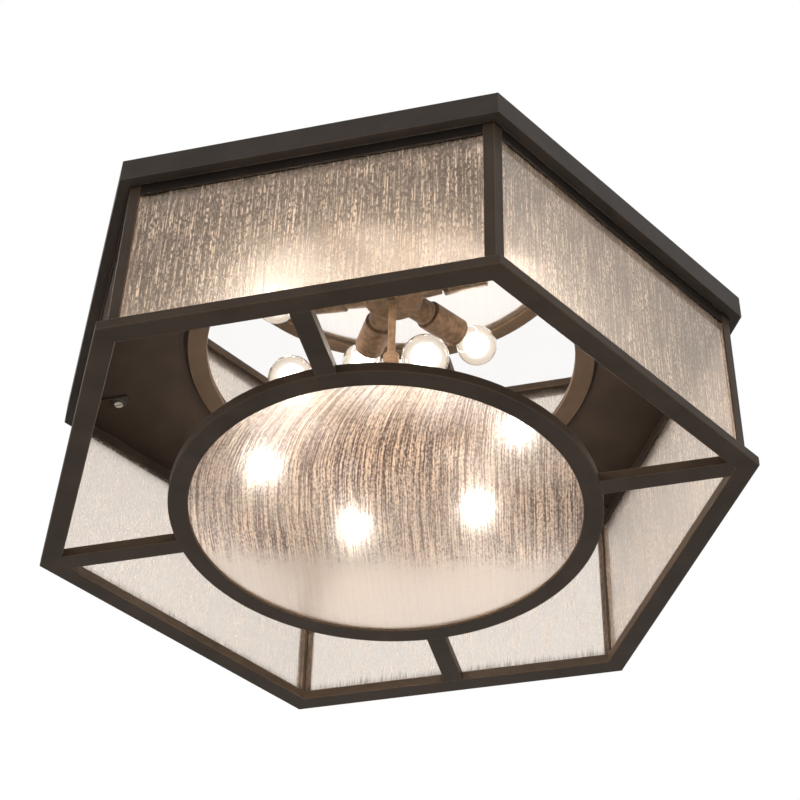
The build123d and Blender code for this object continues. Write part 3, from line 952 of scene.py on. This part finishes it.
def coil_tree(name: str, finish: Finish) -> NodeTree:
    """Builds the tree of a wire coil, for filaments and screw threads.

    Args:
        name: Name of the tree.
        finish: Finish of the wire.

    Returns:
        The tree, whose coil stands on the origin along the third axis and may arch along the first.
    """
    tree, given = new_tree(name, ("Turns", "Coil Radius", "Length", "Wire Radius", "Arch"))
    radius, length = given["Coil Radius"], given["Length"]
    coil = add_node(tree, "GeometryNodeCurveSpiral",
                    {"Resolution": 16, "Rotations": given["Turns"], "Start Radius": radius,
                     "End Radius": radius, "Height": length})
    height = add_node(tree, SPLIT, {0: add_node(tree, "GeometryNodeInputPosition")}).outputs["Z"]
    share = add_node(tree, MATH, {0: height, 1: length}, operation="DIVIDE")
    angle = add_node(tree, MATH, {0: share, 1: math.pi}, operation="MULTIPLY")
    rise = add_node(tree, MATH, {0: angle}, operation="SINE")
    lift = add_node(tree, MATH, {0: rise, 1: given["Arch"]}, operation="MULTIPLY")
    bent = add_node(tree, MOVE, {"Geometry": coil, "Offset": add_node(tree, JOIN, {0: lift})})
    wire = add_node(tree, "GeometryNodeCurvePrimitiveCircle",
                    {"Resolution": 6, "Radius": given["Wire Radius"]})
    solid = add_node(tree, "GeometryNodeCurveToMesh",
                     {"Curve": bent, "Profile Curve": wire, "Fill Caps": True})
    return end_tree(tree, solid, finish)


def ring_tree(name: str, finish: Finish) -> NodeTree:
    """Builds the tree that sets copies of a piece round a circle.

    Args:
        name: Name of the tree.
        finish: Finish of the copies.

    Returns:
        The tree, whose first copy stands on the first axis.
    """
    tree, given = new_tree(name, ("Circle Radius", "Height"), ("Count",))
    circle = add_node(tree, "GeometryNodeMeshCircle",
                      {"Vertices": given["Count"], "Radius": given["Circle Radius"]})
    raised = add_node(tree, MOVE, {"Geometry": circle, "Offset": add_node(tree, JOIN, {2: given["Height"]})})
    copies = add_node(tree, "GeometryNodeInstanceOnPoints",
                      {"Points": raised, "Instance": given["Geometry"]})
    return end_tree(tree, copies, finish)


def drawn_glass_tree(name: str, ridged: Finish, side_finish: Finish) -> NodeTree:
    """Builds the tree that makes a sheet into a slab of drawn glass.

    Args:
        name: Name of the tree.
        ridged: Finish of the ridged side.
        side_finish: Finish of the smooth side and the edges.

    Returns:
        The tree, which thickens a flat sheet upwards and ridges its upper side along the second axis.
    """
    bends = ("Half Length", "Half Width", "Lean", "Curl", "Curl Reach")
    tree, given = new_tree(name, ("Thickness", "Ridge Pitch", "Ridge Length", "Ridge Depth", *bends))
    slab = add_node(tree, "GeometryNodeExtrudeMesh",
                    {"Mesh": given["Geometry"], "Offset Scale": given["Thickness"], "Individual": False},
                    mode="FACES").outputs
    spot = add_node(tree, SPLIT, {0: add_node(tree, "GeometryNodeInputPosition")}).outputs
    leftward = add_node(tree, MATH, {0: spot["X"], 1: -1.0}, operation="MULTIPLY")
    across = bend_lines(tree, spot["Y"], leftward, tuple(given[label] for label in bends))
    laid = [add_node(tree, MATH, {0: length, 1: given[size]}, operation="DIVIDE")
            for length, size in ((across, "Ridge Pitch"), (spot["Y"], "Ridge Length"))]
    noise = add_node(tree, NOISE, {"Vector": add_node(tree, JOIN, dict(enumerate(laid))),
                                   "Scale": 1.0, "Detail": 1.0})
    sink = add_node(tree, MATH, {0: noise, 1: given["Ridge Depth"]}, operation="MULTIPLY")
    down = add_node(tree, MATH, {0: sink, 1: -1.0}, operation="MULTIPLY")
    drawn = add_node(tree, MOVE, {"Geometry": slab["Mesh"], "Selection": slab["Top"],
                                  "Offset": add_node(tree, JOIN, {2: down})})
    back = add_node(tree, "GeometryNodeFlipFaces", {"Mesh": given["Geometry"]})
    both = add_node(tree, "GeometryNodeJoinGeometry")
    for half in (drawn, back):
        tree.links.new(half.outputs[0], both.inputs[0])
    closed = add_node(tree, "GeometryNodeMergeByDistance", {"Geometry": both, "Distance": 1e-6})
    return end_tree(tree, closed, side_finish, slab["Top"], ridged)


def flat_sheet(name: str, half_width: float, half_length: float, columns: int, rows: int,
               rounded: bool) -> Mesh:
    """Cuts a flat sheet into a grid.

    Args:
        name: Name of the mesh.
        half_width: Half of its size along the first axis.
        half_length: Half of its size along the second axis.
        columns: Faces along the first axis.
        rows: Faces along the second axis.
        rounded: Whether the grid is pulled in to a disc.

    Returns:
        The sheet, facing up.
    """
    points = []
    for row in range(rows + 1):
        v = 2.0 * row / rows - 1.0
        for column in range(columns + 1):
            u = 2.0 * column / columns - 1.0
            pull_u, pull_v = (math.sqrt(1 - v * v / 2), math.sqrt(1 - u * u / 2)) if rounded else (1.0, 1.0)
            points.append((u * pull_u * half_width, v * pull_v * half_length, 0.0))
    step = columns + 1
    faces = [(first, first + 1, first + step + 1, first + step)
             for row in range(rows) for first in range(row * step, row * step + columns)]
    mesh = bpy.data.meshes.new(name)
    mesh.from_pydata(points, [], faces)
    return mesh


@dataclass
class CeilingCanopy:
    """Plate, band and mirror that stay on the ceiling."""

    zinc: tuple[str, ...] = ("mounting_strap", "mirror_ring_nuts", "corner_nuts")

    def dress(self) -> None:
        """Gives the plate, band and mirror their finishes."""
        dress(["ceiling_band"], SHADED_BAND_BRONZE)
        dress(["ceiling_plate"], SHADED_PLATE_BRONZE)
        dress(["mirror_ring"], BRONZE)
        dress(self.zinc, ZINC)
        dress(["mirror_disc"], MIRROR)
        dress(["ceiling_gasket"], FOAM)


@dataclass
class LampCluster:
    """Stem, hub and six sockets."""

    cast: tuple[str, ...] = ("stem_nuts", "cluster_hub", "hub_cover")
    turned: tuple[str, ...] = ("stem", "stem_collar", "hub_finial")

    def dress(self) -> None:
        """Gives the cluster its finishes."""
        dress(self.cast, LACQUER)
        dress(self.turned, TUBE_LACQUER)
        dress(numbered("socket_shell"), LACQUER)
        dress(["socket_liners"], PHENOLIC)
        dress(["socket_contacts"], BRASS)


@dataclass(frozen=True)
class DrawnRidges:
    """Ridges that drawing leaves on one side of a glass, and the grid that carries them."""

    columns: int
    rows: int
    pitch_mm: float
    length_mm: float = 60.0
    depth_mm: float = 0.10

    def sizes(self, thickness: float, half_width: float, half_length: float, lean: float = 0.0,
              curl: float = 0.0, reach: float = 1.0) -> dict[str, float]:
        """Gives the inputs of the tree that draws the glass.

        Args:
            thickness: Thickness of the glass.
            half_width: Half of its size across the ridges.
            half_length: Half of its size along them.
            lean: How far the ridges lean.
            curl: How far they curl over at most.
            reach: How far the curl reaches.

        Returns:
            Value of each named input.
        """
        return {"Thickness": thickness, "Ridge Pitch": self.pitch_mm * MM,
                "Ridge Length": self.length_mm * MM, "Ridge Depth": self.depth_mm * MM,
                "Half Width": half_width, "Half Length": half_length,
                "Lean": lean, "Curl": curl, "Curl Reach": reach}


@dataclass
class GlassCage:
    """Bars, rails and panes that come down together."""

    spokes: int = 4
    straight_pane: int = 2
    ridges: DrawnRidges = DrawnRidges(440, 26, 2.4)
    screw_circle_mm: float = 294.98
    tab_underside_mm: float = -10.0
    washer_inner_mm: float = 4.6
    washer_outer_mm: float = 7.6
    washer_mm: float = 0.6
    washer_steps: int = 32

    def build(self) -> None:
        """Makes the six drawn panes in place of the plain ones."""
        low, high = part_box(f"glass_panel_{self.straight_pane}")
        half_width, half_height = (high.x - low.x) / 2, (high.z - low.z) / 2
        sizes = self.ridges.sizes(high.y - low.y, half_width, half_height)
        tree = drawn_glass_tree("drawn_pane", PANE_GLASS, PANE_SIDE)
        middle = Matrix.Translation((0.0, high.y, (low.z + high.z) / 2))
        stand = middle @ Matrix.Rotation(math.pi / 2, 4, "X")
        for number, name in enumerate(numbered("seeded_pane"), 1):
            sheet = flat_sheet(f"{name}_sheet", half_width, half_height, self.ridges.columns,
                               self.ridges.rows, False)
            mesh = grown_mesh(name, tree, sizes, sheet)
            turn = math.radians((number - self.straight_pane) * SIDE_STEP)
            mesh.transform(Matrix.Rotation(turn, 4, "Z") @ stand)
            pane = add_piece(name, mesh, Body.CAGE.value)
            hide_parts(f"glass_panel_{number}")

    def build_shade_washers(self) -> None:
        """Makes dark washers round the heads of the corner screws, which paint the shade round them."""
        inner, outer, sheet = self.washer_inner_mm, self.washer_outer_mm, self.washer_mm
        profile = [(inner, -sheet), (outer - sheet / 2, -sheet), (outer, -sheet / 2), (outer, 0.0),
                   (inner, 0.0)]
        # Painted shade: dark rings that stand for the shade round the screw heads.
        washer = turned_mesh("washer", profile, Matrix.Identity(4), PHENOLIC, self.washer_steps, True)
        sizes = {"Count": SIDES, "Circle Radius": self.screw_circle_mm * MM,
                 "Height": self.tab_underside_mm * MM}
        mesh = grown_mesh("screw_shade_washers", ring_tree("washer_circle", PHENOLIC), sizes, washer)
        add_piece("screw_shade_washers", mesh, Body.CAGE.value)

    def dress(self) -> None:
        """Gives the cage its finishes."""
        dress(numbered("corner_bar"), TOP_SHADED_BAR_BRONZE)
        dress(numbered("spoke", self.spokes), BRONZE)
        dress(numbered("top_rail"), SHADED_RAIL_BRONZE)
        dress(["bottom_frame", "window_ring"], BRONZE)
        dress(["corner_screws"], ZINC)


@dataclass
class RoundWindow:
    """Loose round glass over the ring."""

    ridges: DrawnRidges = DrawnRidges(460, 60, 2.8)
    glass: SeededWindowGlass = WINDOW_GLASS

    def build(self) -> None:
        """Makes the drawn disc in place of the plain one."""
        low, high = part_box("window_glass")
        half = (high.x - low.x) / 2
        sizes = self.ridges.sizes(high.z - low.z, half, half, self.glass.lean, self.glass.curl_mm * MM,
                                  self.glass.curl_reach_mm * MM)
        sheet = flat_sheet("window_sheet", half, half, self.ridges.columns, self.ridges.rows, True)
        mesh = grown_mesh("seeded_window", drawn_glass_tree("drawn_window", self.glass, WINDOW_SIDE), sizes,
                          sheet)
        turn = Matrix.Rotation(math.radians(self.glass.heading_deg - 90.0), 4, "Z")
        mesh.transform(Matrix.Translation((0.0, 0.0, low.z)) @ turn)
        disc = add_piece("seeded_window", mesh, Body.WINDOW.value)
        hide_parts("window_glass")


@dataclass
class ScrewLamp:
    """One clear globe lamp in its socket."""

    number: int
    thread: NodeTree
    filament: NodeTree
    axis_height_mm: float = -108.5
    tilt_deg: float = 6.0
    globe_reach_mm: float = 130.7
    glow_radius_mm: float = 21.0
    glow_rows: int = 16
    glow_steps: int = 40
    glow_stretch: float = 0.08
    thread_start_mm: float = -51.0
    thread_length_mm: float = 16.2
    thread_pitch_mm: float = 3.6
    thread_radius_mm: float = 12.95
    thread_wire_mm: float = 0.4
    filament_turns: float = 24.0
    filament_radius_mm: float = 0.55
    filament_wire_mm: float = 0.14
    filament_length_mm: float = 16.0
    filament_arch_mm: float = 4.0
    filament_height_mm: float = 1.0
    lead_radius_mm: float = 0.3
    lead_spread_mm: float = 2.0
    lead_sunk_mm: float = 1.0
    lead_steps: int = 8
    mount_end_mm: float = -14.0
    mount_steps: int = 20
    mount_profile_mm: tuple[tuple[float, float], ...] = (
        (0.0, -22.0), (10.4, -22.0), (10.6, -21.0), (6.0, -17.0), (3.4, -12.0), (2.9, -5.0), (2.9, -1.0),
        (1.2, 1.0), (1.1, 5.0), (1.9, 6.0), (1.7, 7.4), (0.0, 7.8))
    watts: float = 1.0
    light: str = "#fff4ea"
    light_radius_mm: float = 16.0

    @property
    def body(self) -> str:
        """Gives the name of the lamp's body."""
        return f"bulb_{self.number}"

    @property
    def place(self) -> Matrix:
        """Finds the lamp's own frame.

        Returns:
            The frame at the globe's middle, with its third axis out along the socket.
        """
        turn = Matrix.Rotation(math.radians((self.number - 1) * SIDE_STEP), 4, "Z")
        lean = Matrix.Rotation(math.radians(90.0 + self.tilt_deg), 4, "Y")
        rise = Matrix.Translation((0.0, 0.0, self.axis_height_mm * MM))
        return rise @ turn @ lean @ Matrix.Translation((0.0, 0.0, self.globe_reach_mm * MM))

    def build_glow(self) -> None:
        """Makes the glow that fills the globe, and the light that it sheds."""
        radius = self.glow_radius_mm
        profile = []
        for row in range(self.glow_rows + 1):
            angle = math.pi * row / self.glow_rows
            stretch = 1.0 + self.glow_stretch * max(0.0, math.cos(angle))
            profile.append((radius * math.sin(angle), -radius * stretch * math.cos(angle)))
        name = f"lamp_glow_{self.number}"
        mesh = turned_mesh(name, profile, self.place, GLOW, self.glow_steps)
        add_piece(name, mesh, self.body)
        lamp = bpy.data.lights.new(f"lamp_light_{self.number}", "POINT")
        lamp.energy, lamp.shadow_soft_size = self.watts, self.light_radius_mm * MM
        lamp.color = linear(self.light)[:3]
        light = bpy.data.objects.new(lamp.name, lamp)
        light.location = self.place.translation
        bpy.context.scene.collection.objects.link(light)
        light.parent = frame["bodies"][self.body]

    def build_mount(self) -> None:
        """Makes the glass mount inside the globe, with its flare and the button that holds the wires."""
        profile = [(radius, self.mount_end_mm + height) for radius, height in self.mount_profile_mm]
        name = f"lamp_mount_{self.number}"
        mesh = turned_mesh(name, profile, self.place, LAMP_GLASS, self.mount_steps)
        add_piece(name, mesh, self.body)

    def build_wires(self) -> None:
        """Makes the filament's coil and the two wires that lead to its ends."""
        place, half = self.place, self.filament_length_mm / 2
        across = Matrix.Translation((0.0, -half * MM, self.filament_height_mm * MM))
        laid = place @ across @ Matrix.Rotation(-math.pi / 2, 4, "X") @ Matrix.Rotation(math.pi / 2, 4, "Z")
        name = f"lamp_filament_{self.number}"
        coil = grown_mesh(name, self.filament,
                          {"Turns": self.filament_turns, "Coil Radius": self.filament_radius_mm * MM,
                           "Wire Radius": self.filament_wire_mm * MM, "Length": self.filament_length_mm * MM,
                           "Arch": -self.filament_arch_mm * MM})
        coil.transform(laid)
        add_piece(name, coil, self.body)
        for side, label in ((-1, "left"), (1, "right")):
            foot = Vector((0.0, side * self.lead_spread_mm, self.mount_end_mm - self.lead_sunk_mm))
            run = Vector((0.0, side * half, self.filament_height_mm)) - foot
            turn = run.to_track_quat("Z", "Y").to_matrix().to_4x4()
            name = f"lamp_lead_{label}_{self.number}"
            thick, long = self.lead_radius_mm, run.length
            mesh = turned_mesh(name, [(0.0, 0.0), (thick, 0.0), (thick, long), (0.0, long)],
                               place @ Matrix.Translation(foot * MM) @ turn, ZINC, self.lead_steps)
            add_piece(name, mesh, self.body)

    def build_thread(self) -> None:
        """Makes the rolled thread on the cap."""
        name = f"lamp_thread_{self.number}"
        mesh = grown_mesh(name, self.thread,
                          {"Turns": self.thread_length_mm / self.thread_pitch_mm,
                           "Coil Radius": self.thread_radius_mm * MM, "Wire Radius": self.thread_wire_mm * MM,
                           "Length": self.thread_length_mm * MM, "Arch": 0.0})
        mesh.transform(self.place @ Matrix.Translation((0.0, 0.0, self.thread_start_mm * MM)))
        add_piece(name, mesh, self.body)

    def build(self) -> None:
        """Makes the lamp's glow, mount, wires and thread."""
        self.build_glow()
        self.build_mount()
        self.build_wires()
        self.build_thread()

    def dress(self) -> None:
        """Gives the lamp its finishes."""
        dress([f"bulb_glass_{self.number}"], LAMP_GLASS)
        dress([f"bulb_cap_{self.number}"], BRASS)


@dataclass(frozen=True)
class SoftBox:
    """A soft square studio light that faces the object."""

    name: str
    spot: tuple[float, float, float]
    size: float
    watts: float
    target: tuple[float, float, float] = (0.0, 0.0, -0.1)

    def build(self) -> None:
        """Hangs the light, which shows in no mirror or glass."""
        data = bpy.data.lights.new(self.name, "AREA")
        data.size, data.energy = self.size, self.watts
        light = bpy.data.objects.new(self.name, data)
        light.location = self.spot
        light.rotation_mode = "QUATERNION"
        light.rotation_quaternion = (Vector(self.target) - Vector(self.spot)).to_track_quat("-Z", "Y")
        light.visible_glossy = light.visible_transmission = light.visible_camera = False
        bpy.context.scene.collection.objects.link(light)


@dataclass
class Studio:
    """White studio: floor, soft lights, world and the camera at the photograph's place."""

    floor_height: float = -3.4
    floor_size: float = 24.0
    ambient: float = 0.5
    eye: tuple[float, float, float] = (0.38443, -1.36074, -1.3190)
    right: tuple[float, float, float] = (0.96900532, 0.24608154, 0.02173872)
    up: tuple[float, float, float] = (0.14766219, -0.64750005, 0.7476226)
    lens_mm: float = 85.08
    sensor_mm: float = 36.0
    clip: Span = (0.05, 60.0)
    lights: tuple[SoftBox, ...] = (SoftBox("key_softbox", (-1.9, -2.4, 0.5), 1.6, 36.0),
                                   SoftBox("fill_softbox", (2.6, -1.4, 0.2), 1.6, 28.0),
                                   SoftBox("low_softbox", (0.4, -0.9, -2.6), 1.6, 14.0),
                                   SoftBox("top_softbox", (0.3, 0.4, 2.6), 2.0, 40.0))

    def build_world(self) -> None:
        """Makes the white world."""
        world = bpy.data.worlds.new("white_studio")
        world.use_nodes = True
        tree = world.node_tree
        tree.nodes.clear()
        dim, white = (add_node(tree, "ShaderNodeBackground", {"Color": linear(WHITE), "Strength": strength})
                      for strength in (self.ambient, 1.0))
        both = add_node(tree, SHADER_MIX, {0: seen_plainly(tree), 1: dim, 2: white})
        add_node(tree, "ShaderNodeOutputWorld", {"Surface": both})
        bpy.context.scene.world = world

    def build_floor(self) -> None:
        """Makes the pale floor."""
        half, height = self.floor_size / 2, self.floor_height
        corners = [(-half, -half, height), (half, -half, height), (half, half, height), (-half, half, height)]
        mesh = bpy.data.meshes.new("floor")
        mesh.from_pydata(corners, [], [(0, 1, 2, 3)])
        mesh.materials.append(FLOOR_PAINT.material())
        floor = bpy.data.objects.new("floor", mesh)
        bpy.context.scene.collection.objects.link(floor)

    def build_camera(self) -> None:
        """Sets the camera at the photograph's place."""
        data = bpy.data.cameras.new("camera")
        data.lens, data.sensor_width = self.lens_mm, self.sensor_mm
        data.clip_start, data.clip_end = self.clip
        camera = bpy.data.objects.new("camera", data)
        right, up = Vector(self.right), Vector(self.up)
        turn = Matrix((right, up, right.cross(up))).transposed().to_4x4()
        camera.matrix_world = Matrix.Translation(self.eye) @ turn
        bpy.context.scene.collection.objects.link(camera)
        bpy.context.scene.camera = camera

    def build(self) -> None:
        """Makes the whole studio."""
        bpy.context.scene.view_settings.view_transform = "Standard"
        self.build_world()
        self.build_floor()
        for light in self.lights:
            light.build()
        self.build_camera()
        LOG.info("made the studio")


def main() -> None:
    """Builds the sub-assemblies in order."""
    logging.basicConfig(level=logging.INFO, format="%(name)s: %(message)s")
    CeilingCanopy().dress()
    LampCluster().dress()
    cage = GlassCage()
    cage.build()
    cage.build_shade_washers()
    cage.dress()
    RoundWindow().build()
    thread = coil_tree("screw_thread", BRASS)
    filament = coil_tree("filament_coil", TUNGSTEN)
    for number in range(1, SIDES + 1):
        lamp = ScrewLamp(number, thread, filament)
        lamp.build()
        lamp.dress()
    Studio().build()


if __name__ == "__main__":
    main()
